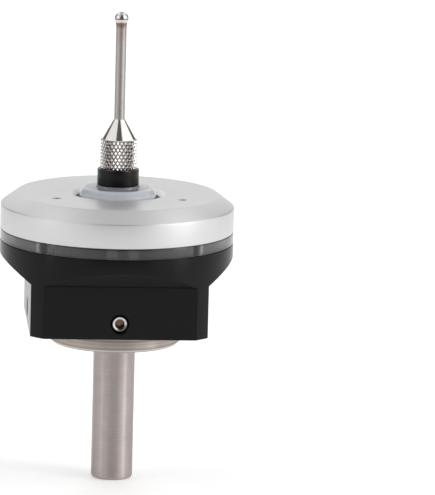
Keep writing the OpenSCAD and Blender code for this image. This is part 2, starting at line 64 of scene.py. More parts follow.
class Number:
    # One socket of a node that takes part in ordinary sums.
    def __init__(self, graph, socket):
        self.graph = graph
        self.socket = socket

    def maths(self, operation, *terms):
        return self.graph.node("ShaderNodeMath", {"operation": operation}, dict(enumerate(terms)))

    def __add__(self, other):
        return self.maths("ADD", self, other)

    def __radd__(self, other):
        return self.maths("ADD", other, self)

    def __sub__(self, other):
        return self.maths("SUBTRACT", self, other)

    def __rsub__(self, other):
        return self.maths("SUBTRACT", other, self)

    def __mul__(self, other):
        return self.maths("MULTIPLY", self, other)

    def __rmul__(self, other):
        return self.maths("MULTIPLY", other, self)

    def __truediv__(self, other):
        return self.maths("DIVIDE", self, other)

    def __pow__(self, other):
        return self.maths("POWER", self, other)

    def __abs__(self):
        return self.maths("ABSOLUTE", self)

    def least(self, other):
        return self.maths("MINIMUM", self, other)

    def most(self, other):
        return self.maths("MAXIMUM", self, other)

    def hypot(self, other):
        return (self * self + other * other) ** 0.5

    def turns(self, across):  # of the direction (across, self), in whole turns
        return self.maths("ARCTAN2", self, across) / (2 * pi)

    def wave(self):  # 0 at whole numbers, 1 midway between them
        return 1 - abs(self.maths("FRACT", self) * 2 - 1)

    def rise(self, low, high):  # 0 below low, 1 above high, smooth between
        return self.graph.node("ShaderNodeMapRange", {"interpolation_type": "SMOOTHSTEP"},
                               {"Value": self, "From Min": low, "From Max": high})

    def over(self, low, high):  # the same for a place, with its ends in millimetres
        return self.rise(low * mm, high * mm)

    def near(self, place, inner, outer):  # 1 up to inner millimetres from a place, 0 from outer on
        return 1 - abs(self - place * mm).over(inner, outer)


class Graph:
    # A node tree whose nodes all come from one method.
    def __init__(self, tree):
        self.tree = tree

    def node(self, kind, settings=None, values=None, output=0):
        node = self.tree.nodes.new(kind)
        for name, value in (settings or {}).items():
            setattr(node, name, value)
        for name, value in (values or {}).items():
            if isinstance(value, Number):
                self.tree.links.new(value.socket, node.inputs[name])
            else:
                node.inputs[name].default_value = value
        return Number(self, node.outputs[output]) if node.outputs else None

    def parts(self, vector):  # its x, y and z
        return [self.node("ShaderNodeSeparateXYZ", None, {"Vector": vector}, axis) for axis in "XYZ"]


# Finishes. A look holds colours, lengths in millimetres and shares. A grain is its size and its detail.
# From and UpTo are the two ends of a smooth step. Tones and swings say how much each noise changes the
# colour and the roughness.
noiseMean = 0.5
metal = {"Metallic": 1.0}
mixSockets = {"share": 0, "first": 6, "second": 7, "result": 2}  # where a Mix node keeps its colours


def opaque(colour):
    return colour if isinstance(colour, Number) else (*colour, 1)


def darker(colour, share):
    return tuple(share * part for part in colour)


def weighed(noises, shares):  # noises added up by their shares
    terms = [noise * share for noise, share in zip(noises, shares)]
    return sum(terms[1:], terms[0])


def roughened(look, *noises):  # the look's roughness, with noises that swing about it
    pairs = zip(noises, look["swings"])
    return sum(((noise - noiseMean) * swing for noise, swing in pairs), look["rough"])


class Finish(Graph):
    # A surface finish that reads the piece's own place.
    def __init__(self, name):
        self.material = bpy.data.materials.new(name)
        self.material.use_nodes = True
        super().__init__(self.material.node_tree)
        self.tree.nodes.clear()
        self.place = self.node("ShaderNodeTexCoord", output="Object")
        self.x, self.y, self.z = self.parts(self.place)

    def radius(self):
        return self.x.hypot(self.y)

    def specks(self, size, detail):  # even grain
        return self.node("ShaderNodeTexNoise", {"noise_dimensions": "3D"},
                         {"Vector": self.place, "Scale": 1 / (size * mm), "Detail": detail})

    def lines(self, along, size, detail=2.0):  # tool marks, one after another along a direction
        return self.node("ShaderNodeTexNoise", {"noise_dimensions": "1D"},
                         {"W": along, "Scale": 1 / (size * mm), "Detail": detail})

    def mix(self, share, first, second):
        return self.node("ShaderNodeMix", {"data_type": "RGBA"}, {
            mixSockets["share"]: share, mixSockets["first"]: opaque(first),
            mixSockets["second"]: opaque(second)}, mixSockets["result"])

    def surface(self, look, colour, roughness, bumps=None):
        sockets = {"Base Color": opaque(colour), "Roughness": roughness, **look["sockets"]}
        if bumps is not None:
            bump = {"Strength": 1.0, "Distance": look["relief"] * mm, "Height": bumps}
            sockets["Normal"] = self.node("ShaderNodeBump", None, bump, "Normal")
        shader = self.node("ShaderNodeBsdfPrincipled", None, sockets)
        self.node("ShaderNodeOutputMaterial", None, {"Surface": shader})
        return self.material


turnedLook = {"marks": 0.09, "cloud": (2.2, 2.0), "tones": (0.4, 0.6), "swings": (0.16, 0.08),
              "relief": 0.0006, "sockets": metal}


def turnedMetal(name, colours, **changes):
    look = {**turnedLook, **changes}
    finish = Finish(name)
    marks = finish.lines(finish.z + finish.radius(), look["marks"])
    cloud = finish.specks(*look["cloud"])
    base = finish.mix(weighed((marks, cloud), look["tones"]), *colours)
    return finish.surface(look, base, roughened(look, marks, cloud), marks)


polishedLook = {"haze": (0.5, 3.0), "tint": 0.93, "relief": 0.0004, "sockets": metal}


def polishedSteel(name, colour, rough):
    look = {**polishedLook, "rough": rough, "swings": [rough]}
    finish = Finish(name)
    haze = finish.specks(*look["haze"])
    base = finish.mix(haze, colour, darker(colour, look["tint"]))
    return finish.surface(look, base, roughened(look, haze), haze)


plasticLook = {"grain": (0.12, 2.0), "marks": 0.14, "tones": (0.5, 0.5), "rough": 0.5, "swings": [0.16],
               "bumps": (0.6, 0.4), "relief": 0.003, "sockets": {}}


def mattPlastic(name, colours, **changes):
    look = {**plasticLook, **changes}
    finish = Finish(name)
    grain = finish.specks(*look["grain"])
    marks = finish.lines(finish.z, look["marks"])
    base = finish.mix(weighed((grain, marks), look["tones"]), *colours)
    return finish.surface(look, base, roughened(look, grain), weighed((grain, marks), look["bumps"]))


boardLook = {"weave": (0.35, 1.0), "tone": 0.4, "tint": 0.7, "tracks": 1.3, "gap": (0.16, 0.24),
             "rough": 0.42, "swings": [0.2], "bumps": (0.8, 0.2), "relief": 0.02, "sockets": {}}


def boardLaminate(name, coat, track):  # copper tracks in rings under a coat
    look = boardLook
    finish = Finish(name)
    weave = finish.specks(*look["weave"])
    copper = 1 - (finish.radius() / (look["tracks"] * mm)).wave().rise(*look["gap"])
    base = finish.mix(weave * look["tone"], finish.mix(copper, coat, track), darker(coat, look["tint"]))
    return finish.surface(look, base, roughened(look, weave), weighed((copper, weave), look["bumps"]))


lensLook = {"colours": ((0.86, 0.84, 0.62), (0.78, 0.74, 0.46)), "fleck": (0.2, 2.0), "rough": 0.2,
            "swings": [0.1], "relief": 0.002, "sockets": {}}


def lampLens(look):
    finish = Finish("clear lamp over yellow phosphor")
    fleck = finish.specks(*look["fleck"])
    return finish.surface(look, finish.mix(fleck, *look["colours"]), roughened(look, fleck), fleck)


finishes = {
    "black_screw_steel": turnedMetal("black oxide steel", ((0.10, 0.10, 0.105), (0.05, 0.05, 0.052)),
                                     rough=0.42),
    "board_laminate": boardLaminate("green circuit laminate", (0.02, 0.13, 0.055), (0.04, 0.2, 0.09)),
    "white_board": boardLaminate("white circuit laminate", (0.72, 0.72, 0.70), (0.80, 0.80, 0.78)),
    "lamp_lens": lampLens(lensLook),
    "gold_contact": polishedSteel("gold plate", (0.85, 0.62, 0.26), 0.18),
    "socket_steel": turnedMetal("drawn and tinned steel", ((0.62, 0.62, 0.63), (0.50, 0.50, 0.51)),
                                rough=0.26, marks=0.3),
    "black_plastic": mattPlastic("matt black acetal", ((0.003, 0.003, 0.0032), (0.0045, 0.0045, 0.0048)),
                                 rough=0.24, relief=0.001, sockets={"IOR": 1.28}),
    "natural_plastic": mattPlastic("natural acetal", ((0.78, 0.75, 0.66), (0.70, 0.67, 0.58))),
    "spring_steel": turnedMetal("spring steel", ((0.55, 0.54, 0.53), (0.42, 0.41, 0.40)),
                                rough=0.28, marks=0.05),
    "cap_brass": turnedMetal("turned brass", ((0.78, 0.60, 0.28), (0.62, 0.46, 0.20)), rough=0.25),
    "hard_pin_steel": polishedSteel("hardened pin", (0.66, 0.66, 0.67), 0.12),
    "turned_steel": turnedMetal("turned steel", ((0.56, 0.55, 0.54), (0.42, 0.41, 0.40)), rough=0.32),
}
print("general finishes:", len(finishes))

# Shapes
quality = {"round": 192, "ball": 96, "rod": 64, "setScrew": 48, "screw": 32,  # faces round a turned shape
           "slotEnd": 12, "fillet": 4, "bevel": 2,  # faces of a slot's end, a fillet and a bevel
           "filletShare": 0.48,  # the most of a side that a fillet takes
           "sharp": 32, "bevelAbove": 38,  # degrees above which an edge is crisp, or is bevelled
           "same": 1e-5, "onAxis": 1e-6}  # millimetres within which points merge, or lie on the axis


def softCorners(outline):  # (radius, height) points, a third value rounds the corner
    points = []
    for i, (r, z, *fillet) in enumerate(outline):
        here = Vector((r, z))
        if not fillet:
            points.append(here)
            continue
        before = Vector(outline[i - 1][:2]) - here
        after = Vector(outline[(i + 1) % len(outline)][:2]) - here
        half = before.angle(after) / 2
        reach = min(fillet[0] / tan(half), quality["filletShare"] * min(before.length, after.length))
        centre = here + (before.normalized() + after.normalized()).normalized() * reach / cos(half)
        first = here + before.normalized() * reach - centre
        last = here + after.normalized() * reach - centre
        turn = first.angle(last)
        for k in range(quality["fillet"] + 1):
            share = k / quality["fillet"]
            points.append(centre + (first * sin((1 - share) * turn) + last * sin(share * turn)) / sin(turn))
    return points


def circlePoints(radius, steps):
    return [(radius * cos(2 * pi * k / steps), radius * sin(2 * pi * k / steps)) for k in range(steps)]


def smoothFaces(mesh):  # edges sharper than the limit stay crisp
    mesh.shade_smooth()
    mesh.set_sharp_from_angle(angle=radians(quality["sharp"]))


def finished(name, shape, slot=None):  # a bmesh in millimetres made into an object
    bmesh.ops.remove_doubles(shape, verts=shape.verts, dist=quality["same"])
    bmesh.ops.recalc_face_normals(shape, faces=shape.faces)
    bmesh.ops.scale(shape, vec=(mm, mm, mm), verts=shape.verts)
    mesh = bpy.data.meshes.new(name)
    shape.to_mesh(mesh)
    shape.free()
    smoothFaces(mesh)
    piece = bpy.data.objects.new(name, mesh)
    bpy.context.scene.collection.objects.link(piece)
    if slot:
        mesh.materials.append(finishes[slot])
    return piece


def lathe(name, outline, slot=None, steps=quality["round"], place=Matrix()):  # turned about +Z, then placed
    shape = bmesh.new()
    levels = []
    for r, z in softCorners(outline):
        spots = [(0, 0)] if r < quality["onAxis"] else circlePoints(r, steps)
        levels.append([shape.verts.new((x, y, z)) for x, y in spots])
    for i, level in enumerate(levels):
        below = levels[i - 1]
        if len(level) == len(below) == 1:
            continue
        for k in range(steps):
            corners = (below, k), (below, k + 1), (level, k + 1), (level, k)
            shape.faces.new(list(dict.fromkeys(row[j % len(row)] for row, j in corners)))
    shape.transform(place)
    return finished(name, shape, slot)


def prism(name, outline, low, high, place=Matrix()):  # a flat outline run along +Z, then placed
    shape = bmesh.new()
    bottom = [shape.verts.new((x, y, low)) for x, y in outline]
    top = [shape.verts.new((x, y, high)) for x, y in outline]
    shape.faces.new(bottom)
    shape.faces.new(top)
    for i in range(len(bottom)):
        shape.faces.new((bottom[i - 1], bottom[i], top[i], top[i - 1]))
    shape.transform(place)
    return finished(name, shape)


def addModifier(piece, name, kind, **settings):
    modifier = piece.modifiers.new(name, kind)
    for label, value in settings.items():
        setattr(modifier, label, value)
    return modifier


def settle(piece):  # the evaluated mesh takes the place of the live one
    depsgraph = bpy.context.evaluated_depsgraph_get()
    mesh = bpy.data.meshes.new_from_object(piece.evaluated_get(depsgraph))
    piece.modifiers.clear()
    piece.data = mesh
    return piece


def carve(piece, cutters):
    for cutter in cutters:
        addModifier(piece, "cut", "BOOLEAN", operation="DIFFERENCE", solver="EXACT", object=cutter)
    settle(piece)
    for cutter in cutters:
        bpy.data.objects.remove(cutter)
    smoothFaces(piece.data)
    return piece


def breakEdges(piece, width):  # takes the sharp edges off
    addModifier(piece, "edges", "BEVEL", width=width * mm, segments=quality["bevel"], limit_method="ANGLE",
                angle_limit=radians(quality["bevelAbove"]), harden_normals=True)
    return settle(piece)


def turnedBy(angle, axis="Z"):  # by degrees
    return Matrix.Rotation(radians(angle), 4, axis)


def onCircle(angle, circle):  # a shape moved out along +X, then round the axis
    return turnedBy(angle) @ Matrix.Translation((circle, 0, 0))


def facing(angle, height):  # +Z of a shape turned to look outwards at an angle
    return turnedBy(angle) @ Matrix.Translation((0, 0, height)) @ turnedBy(90, "Y")


def hexagon(across):
    return circlePoints(across / sqrt(3), 6)


def stadium(width, height):
    side = (width - height) / 2
    radius = height / 2
    steps = quality["slotEnd"]
    return [(way * side + way * radius * sin(pi * k / steps), -way * radius * cos(pi * k / steps))
            for way in (1, -1) for k in range(steps + 1)]


threadForm = {"crest": 0.2, "root": 0.6}  # where a turn's crest ends and where its groove is deepest


def threaded(radius, low, high, pitch, depth):  # outline of a screw's side, one V for each turn
    count = round((high - low) / pitch)
    step = (high - low) / count
    turn = ((radius, 0), (radius, threadForm["crest"]), (radius - depth, threadForm["root"]))
    return [(r, low + (k + share) * step) for k in range(count) for r, share in turn] + [(radius, high)]


def ready(piece, body, slot, *nodes):
    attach(piece, body)
    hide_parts(*nodes)
    return piece


class Maker(Graph):
    # A Geometry Nodes tree with named inputs.
    def __init__(self, name, **inputs):
        super().__init__(bpy.data.node_groups.new(name, "GeometryNodeTree"))
        self.names = {}
        face = self.tree.interface
        face.new_socket(name="Geometry", in_out="OUTPUT", socket_type="NodeSocketGeometry")
        for label, kind in {**inputs, "Material": "Material"}.items():
            socket = face.new_socket(name=label, in_out="INPUT", socket_type="NodeSocket" + kind)
            self.names[label] = socket.identifier
        self.source = self.tree.nodes.new("NodeGroupInput")
        self.sink = self.tree.nodes.new("NodeGroupOutput")

    def given(self, *labels):
        return [Number(self, self.source.outputs[label]) for label in labels]

    def vector(self, x, y, z):
        return self.node("ShaderNodeCombineXYZ", None, {"X": x, "Y": y, "Z": z})

    def ends(self, geometry):
        [material] = self.given("Material")
        whole = self.node("GeometryNodeRealizeInstances", None, {"Geometry": geometry})
        dressed = self.node("GeometryNodeSetMaterial", None, {"Geometry": whole, "Material": material})
        self.tree.links.new(dressed.socket, self.sink.inputs["Geometry"])
        return self

    def make(self, name, slot, **values):  # runs the tree once and keeps a plain mesh
        piece = bpy.data.objects.new(name, bpy.data.meshes.new(name))
        bpy.context.scene.collection.objects.link(piece)
        run = addModifier(piece, "made", "NODES", node_group=self.tree)
        for label, value in {**values, "Material": finishes[slot]}.items():
            run[self.names[label]] = value
        settle(piece)
        piece.data.set_sharp_from_angle(angle=radians(quality["sharp"]))
        return piece


# Shank with its flange
shank = {"radius": 3.0, "end": -20.1, "endRound": 0.5, "root": 0.2, "flange": 9.5, "lowEdge": 0.5,
         "edge": 0.1, "top": 5.8, "groove": 4.85, "grooveHalf": 0.3, "grooveDepth": 0.5, "bore": 1.5,
         "boreEnd": 2.9}
shankLook = {"ground": ((0.58, 0.515, 0.497), (0.28, 0.247, 0.238)), "groundTones": (0.6, 0.3),
             "turned": ((0.57, 0.50, 0.455), (0.24, 0.21, 0.18)), "turnedTones": (0.4, 0.6),
             "edge": (0.70, 0.66, 0.62), "highlightFrom": (8.95, 9.3), "highlightUpTo": (0.2, 0.5),
             "flangeFrom": (-0.02, 0.0), "marks": 0.09, "bands": 0.42, "bandEdges": (0.3, 0.7),
             "cloud": (1.6, 3.0), "rough": 0.42, "swings": [0.12], "edgeGloss": 0.1, "relief": 0.0008,
             "sockets": {**metal, "Anisotropic": 0.9, "Anisotropic Rotation": 0.25}}


def groundShank(look):
    finish = Finish("ground shank and turned flange")
    radius = finish.radius()
    marks = finish.lines(finish.z + radius, look["marks"])
    bands = finish.lines(finish.z - radius, look["bands"]).rise(*look["bandEdges"])
    cloud = finish.specks(*look["cloud"])
    flange = finish.z.over(*look["flangeFrom"])
    # The flange's lower chamfer is painted lighter, a painted highlight of the floor's light on it; it is
    # also glossier.
    edge = radius.over(*look["highlightFrom"]) * (1 - finish.z.over(*look["highlightUpTo"]))
    ground = finish.mix(weighed((marks, cloud), look["groundTones"]), *look["ground"])
    turned = finish.mix(weighed((marks, bands), look["turnedTones"]), *look["turned"])
    base = finish.mix(flange, ground, finish.mix(edge, turned, look["edge"]))
    return finish.surface(look, base, roughened(look, marks) - edge * look["edgeGloss"], marks)


def makeShank():
    low = shank["groove"] - shank["grooveHalf"]
    high = shank["groove"] + shank["grooveHalf"]
    floor = shank["flange"] - shank["grooveDepth"]
    return lathe("shank_and_flange", [
        (0, shank["end"]), (shank["radius"], shank["end"], shank["endRound"]),
        (shank["radius"], 0, shank["root"]), (shank["flange"] - shank["lowEdge"], 0, shank["edge"]),
        (shank["flange"], shank["lowEdge"], shank["edge"]), (shank["flange"], low - shank["grooveDepth"]),
        (floor, low), (floor, high), (shank["flange"], high + shank["grooveDepth"]),
        (shank["flange"], shank["top"]), (shank["bore"], shank["top"]), (shank["bore"], shank["boreEnd"]),
        (0, shank["boreEnd"])], "ground_steel")


finishes["ground_steel"] = groundShank(shankLook)
ready(makeShank(), "probe_body", "ground_steel", "shank")

# Housing: turned, then milled and drilled from four sides
housing = {"radius": 16.8, "bottom": 2.65, "top": 14.9, "rim": 0.12, "flat": 12.7, "flatTop": 10.2,
           "runoutTop": 12.9, "sides": (0, 90, 180, 270), "flangeBore": 9.9, "floor": shank["top"],
           "screwBore": 1.9, "cavities": [(15.8, 14.25), (12.0, 13.6), (10.4, 9.75), (9.4, 8.0)],
           "edges": 0.07, "spare": 1.0,
           "grub": {"height": shank["groove"], "radius": 1.29, "from": 9.5, "sink": 0.2},
           "clamp": {"circle": 13.9, "from": 45, "head": 2.0, "seat": 4.75, "shaft": 1.1},
           "leadSlot": {"width": 9.04, "height": 3.3, "middle": 8.15, "from": 5.35}}
housingLook = {"black": ((0.0052, 0.0052, 0.0056), (0.0066, 0.0066, 0.007)),
               "facetPaintedLight": (0.017, 0.017, 0.0185), "paintedLightFrom": (0.2, 0.5), "facetNear": 0.06,
               "blast": (0.09, 2.0), "cloud": (4.0, 2.0), "rough": 0.21, "swings": (0.1, 0.06),
               "relief": 0.0015, "sockets": {"IOR": 1.22}}


def facetSlope():  # of the faces that the milled flats run out in
    return (housing["runoutTop"] - housing["flatTop"]) / (housing["radius"] - housing["flat"])


def blackAnodised(look):
    finish = Finish("black anodised aluminium")
    blast = finish.specks(*look["blast"])
    cloud = finish.specks(*look["cloud"])
    outwards = abs(finish.x).most(abs(finish.y)) - housing["flat"] * mm
    onFacet = (finish.z - outwards * facetSlope()).near(housing["flatTop"], 0.0, look["facetNear"])
    base = finish.mix(cloud, *look["black"])
    # The facet where each flat runs out is painted lighter, a painted reflection of the floor below it; the
    # painted light starts a little above the facet's lower edge.
    base = finish.mix(onFacet * outwards.over(*look["paintedLightFrom"]), base, look["facetPaintedLight"])
    return finish.surface(look, base, roughened(look, blast, cloud), blast)


def housingShell():
    outline = [(housing["screwBore"], housing["floor"]), (housing["flangeBore"], housing["floor"]),
               (housing["flangeBore"], housing["bottom"]),
               (housing["radius"], housing["bottom"], housing["rim"]),
               (housing["radius"], housing["top"], housing["rim"])]
    above = housing["top"]
    for radius, height in housing["cavities"]:  # each step of the hollow, from the top down
        outline += [(radius, above), (radius, height)]
        above = height
    return lathe("housing_shell", [*outline, (housing["screwBore"], above)], "black_anodised")


def flatCutter(angle):
    low = housing["bottom"] - housing["spare"]
    out = housing["radius"] + housing["spare"]
    side = [(housing["flat"], low), (housing["flat"], housing["flatTop"]),
            (out, housing["runoutTop"] + housing["spare"] * facetSlope()), (out, low)]
    return prism("flat", side, -housing["radius"], housing["radius"], turnedBy(angle) @ turnedBy(90, "X"))


def grubCutter(angle):  # a set screw's bore with its countersink
    grub = housing["grub"]
    mouth = housing["flat"] + grub["sink"]
    return lathe("grub", [
        (0, grub["from"]), (grub["radius"], grub["from"]), (grub["radius"], housing["flat"] - grub["sink"]),
        (grub["radius"] + 2 * grub["sink"], mouth), (0, mouth)],
        steps=quality["setScrew"], place=facing(angle, grub["height"]))


def clampCutter(angle):  # a long screw's bore with room for its head
    clamp = housing["clamp"]
    low = housing["bottom"] - housing["spare"]
    return lathe("clamp", [
        (0, low), (clamp["head"], low), (clamp["head"], clamp["seat"]), (clamp["shaft"], clamp["seat"]),
        (clamp["shaft"], housing["top"]), (0, housing["top"])],
        steps=quality["screw"], place=onCircle(angle + clamp["from"], clamp["circle"]))


def leadCutter():  # opening of the lead socket, in the rear flat
    slot = housing["leadSlot"]
    return prism("lead", stadium(slot["width"], slot["height"]), -housing["radius"], -slot["from"],
                 Matrix.Translation((0, 0, slot["middle"])) @ turnedBy(90, "X"))


def makeHousing():
    cutters = [cut(angle) for angle in housing["sides"] for cut in (flatCutter, grubCutter, clampCutter)]
    return breakEdges(carve(housingShell(), [*cutters, leadCutter()]), housing["edges"])


finishes["black_anodised"] = blackAnodised(housingLook)
ready(makeHousing(), "probe_body", "black_anodised", "housing")

# Smoked ring. Its look also paints in the long screws and one lamp, which stand behind it, with painted
# glints, painted lighter sides and painted shade at its joints.
ring = {"inside": 14.95, "outside": housing["radius"], "low": housing["top"], "high": 16.5, "lip": 15.75,
        "lipHeight": 0.6, "rim": 0.12}
ringLook = {"smoke": ((0.085, 0.083, 0.093), (0.26, 0.257, 0.272)), "paintedLight": (0.85, 0.84, 0.85),
            "dark": (0.006, 0.006, 0.007), "paintedSideLight": (1.0, 14.0), "cloudSwing": 0.2,
            "screw": 10.8, "screwEdge": (0.23, 0.644), "shift": 0.25, "paintedGlint": 11.66,
            "paintedGlintEdge": (0.0, 0.4), "lamp": 1.5, "lampEdge": (0.5, 1.0), "front": (-1.0, 1.0),
            "paintedLightShares": (0.95, 0.14), "foot": (15.12, 15.3), "head": (16.22, 16.4), "jointShade": 0.45,
            "cloud": (3.0, 2.0), "marks": 0.12, "rough": 0.12, "swings": (0.08, 0.05), "relief": 0.0006,
            "sockets": {"IOR": 1.49, "Transmission Weight": 0.75}}


def smokedAcrylic(look):
    finish = Finish("smoked acrylic")
    cloud = finish.specks(*look["cloud"])
    marks = finish.lines(finish.z, look["marks"])
    # Painted dark marks for the long screws seen through the ring, each with a painted glint on its outer
    # side.
    aside = abs(finish.x + look["shift"] * mm)
    screw = aside.near(look["screw"], *look["screwEdge"])
    paintedGlint = aside.near(look["paintedGlint"], *look["paintedGlintEdge"])
    # A painted light streak for the lamp behind the front of the ring.
    lamp = abs(finish.x).near(look["lamp"], *look["lampEdge"]) * (1 - finish.y.over(*look["front"]))
    # Painted shade along the joints at the ring's foot and head.
    joint = 1 - finish.z.over(*look["foot"]) * (1 - finish.z.over(*look["head"]))
    # Painted light: the ring is lighter towards both sides along x, over random cloud.
    tone = abs(finish.x).over(*look["paintedSideLight"]) + (cloud - noiseMean) * look["cloudSwing"]
    smoke = finish.mix(tone, *look["smoke"])
    paintedLight = finish.mix(weighed((paintedGlint, lamp), look["paintedLightShares"]), smoke, look["paintedLight"])
    base = finish.mix(screw.most(joint * look["jointShade"]), paintedLight, look["dark"])
    return finish.surface(look, base, roughened(look, marks, cloud), marks)


def makeRing():
    foot = ring["low"] - ring["lipHeight"]
    head = ring["high"] + ring["lipHeight"]
    return lathe("smoked_ring", [
        (ring["inside"], foot), (ring["lip"], foot), (ring["lip"], ring["low"]),
        (ring["outside"], ring["low"], ring["rim"]), (ring["outside"], ring["high"], ring["rim"]),
        (ring["lip"], ring["high"]), (ring["lip"], head), (ring["inside"], head)], "smoked_acrylic")


finishes["smoked_acrylic"] = smokedAcrylic(ringLook)
ready(makeRing(), "probe_body", "smoked_acrylic", "light_ring")

# Cover with three small screw holes, tapped from below for the long screws
cover = {"radius": housing["radius"], "bottom": ring["high"], "wallTop": 20.0, "top": 21.7, "plateau": 14.5,
         "mouth": 6.2, "chamfer": 0.7, "roof": 19.0, "cavity": 12.0, "rebate": 15.8, "rebateTop": 17.15,
         "rim": 0.12, "edge": 0.3, "mouthEdge": 0.1, "spare": 0.5,
         "peep": {"count": 3, "from": 90, "circle": 10.4, "radius": 0.62, "edge": 0.1, "tapped": 0.8,
                  "depth": 20.8},
         "thread": {"count": 4, "from": housing["clamp"]["from"], "circle": housing["clamp"]["circle"],
                    "radius": 1.0, "depth": 18.95}}
coverLook = {"satin": ((0.645, 0.645, 0.65), (0.575, 0.576, 0.581)), "chamfer": (0.92, 0.92, 0.925),
             "mouthPaintedLightUpTo": (6.82, 6.95), "blast": (0.11, 2.0), "cloud": (6.0, 2.0), "marks": 0.16,
             "tones": (0.35, 0.4), "rough": 0.40, "swings": (0.12, 0.06, 0.05), "relief": 0.004,
             "sockets": {"Metallic": 0.75}}


def satinAluminium(look):
    finish = Finish("satin aluminium, clear anodised")
    blast = finish.specks(*look["blast"])
    cloud = finish.specks(*look["cloud"])
    marks = finish.lines(finish.radius(), look["marks"])
    base = finish.mix(weighed((blast, cloud), look["tones"]), *look["satin"])
    # The mouth's chamfer and bore are painted lighter: painted light in the gap round the boot.
    base = finish.mix(1 - finish.radius().over(*look["mouthPaintedLightUpTo"]), base, look["chamfer"])
    return finish.surface(look, base, roughened(look, blast, cloud, marks), blast)


def coverShell():
    return lathe("cover_shell", [
        (cover["rebate"], cover["bottom"]), (cover["radius"], cover["bottom"], cover["rim"]),
        (cover["radius"], cover["wallTop"], cover["edge"]), (cover["plateau"], cover["top"], cover["edge"]),
        (cover["mouth"] + cover["chamfer"], cover["top"], cover["mouthEdge"]),
        (cover["mouth"], cover["top"] - cover["chamfer"], cover["mouthEdge"]),
        (cover["mouth"], cover["roof"]), (cover["cavity"], cover["roof"]),
        (cover["cavity"], cover["rebateTop"]), (cover["rebate"], cover["rebateTop"])], "satin_aluminium")


def peepOutline(peep):
    low = cover["roof"] - cover["spare"]
    mouth = cover["top"] + peep["edge"]
    return [(0, low), (peep["tapped"], low), (peep["tapped"], peep["depth"]),
            (peep["radius"], peep["depth"]), (peep["radius"], cover["top"] - peep["edge"]),
            (peep["radius"] + 2 * peep["edge"], mouth), (0, mouth)]


def threadOutline(thread):
    return [(0, cover["bottom"]), (thread["radius"], cover["bottom"]), (thread["radius"], thread["depth"]),
            (0, thread["depth"])]


def holeCutters(name, hole, outline):
    return [lathe(name, outline, steps=quality["screw"],
                  place=onCircle(hole["from"] + 360 * k / hole["count"], hole["circle"]))
            for k in range(hole["count"])]


def makeCover():
    peep = cover["peep"]
    thread = cover["thread"]
    return carve(coverShell(), [*holeCutters("peep", peep, peepOutline(peep)),
                                *holeCutters("thread", thread, threadOutline(thread))])


finishes["satin_aluminium"] = satinAluminium(coverLook)
ready(makeCover(), "probe_body", "satin_aluminium", "cover")
print("body: shank, housing, ring and cover")

# Long screws: one is turned and its socket cut, then a tree sets the four round the stack
longScrew = {"count": 4, "low": 2.75, "seat": housing["clamp"]["seat"], "end": 18.75, "head": 1.9,
             "edge": 0.15, "shaft": 0.99, "pitch": 0.4, "thread": 0.16, "key": 1.5, "keyDepth": 1.0,
             "spare": 1.0}


def makeLongScrew(size):
    low = size["low"]
    thread = threaded(size["shaft"], size["seat"], size["end"], size["pitch"], size["thread"])
    blank = lathe("long_screw", [
        (0, low), (size["head"], low, size["edge"]), (size["head"], size["seat"]),
        *thread, (0, size["end"])], "black_screw_steel", steps=quality["screw"])
    return carve(blank, [prism("key", hexagon(size["key"]), low - size["spare"], low + size["keyDepth"])])


def ringSetter():  # sets copies of one piece round the axis
    tree = Maker("set round the axis", Piece="Object", Count="Int", Circle="Float", From="Float")
    piece, count, circle, start = tree.given("Piece", "Count", "Circle", "From")
    spots = tree.node("GeometryNodeMeshCircle", None, {"Vertices": count, "Radius": circle})
    spots = tree.node("GeometryNodeTransform", None, {
        "Geometry": spots, "Rotation": tree.vector(0.0, 0.0, start)})
    angle = tree.node("GeometryNodeInputIndex") * (2 * pi) / count + start
    return tree.ends(tree.node("GeometryNodeInstanceOnPoints", None, {
        "Points": spots, "Rotation": tree.vector(0.0, 0.0, angle),
        "Instance": tree.node("GeometryNodeObjectInfo", None, {"Object": piece}, "Geometry")}))


def makeLongScrews():
    single = makeLongScrew(longScrew)
    clamp = housing["clamp"]
    screws = ringSetter().make("clamp_screws", "black_screw_steel", Piece=single, Count=longScrew["count"],
                               Circle=clamp["circle"] * mm, From=radians(clamp["from"]))
    bpy.data.objects.remove(single)
    return screws


ready(makeLongScrews(), "probe_body", "black_screw_steel", "long_screws")

# Set screws, one on each side
setScrew = {"height": shank["groove"], "tip": 9.06, "tipRadius": 0.3, "end": 12.35, "radius": 1.25,
            "bevel": 0.2, "pitch": 0.45, "thread": 0.15, "key": 1.3, "keyDepth": 1.2, "dish": 0.1,
            "edge": 0.05, "dishEdge": 0.03, "spare": 1.0,
            "sides": {"front": 270, "back": 90, "left": 180, "right": 0}}
setScrewLook = {"bright": ((0.72, 0.71, 0.70), (0.50, 0.485, 0.47)), "socket": (0.12, 0.085, 0.07),
                "socketShadeUpTo": (0.68, 0.76), "rim": (0.07, 0.068, 0.065), "rimShadeFrom": (0.93, 1.03),
                "corner": (0.12, 0.115, 0.11), "cornerFrom": (0.7, 1.5), "cornerLean": 1.6,
                "onSide": (-1.0, 1.0), "marks": 0.06, "rough": 0.24, "swings": [0.16], "relief": 0.0006,
                "sockets": metal}


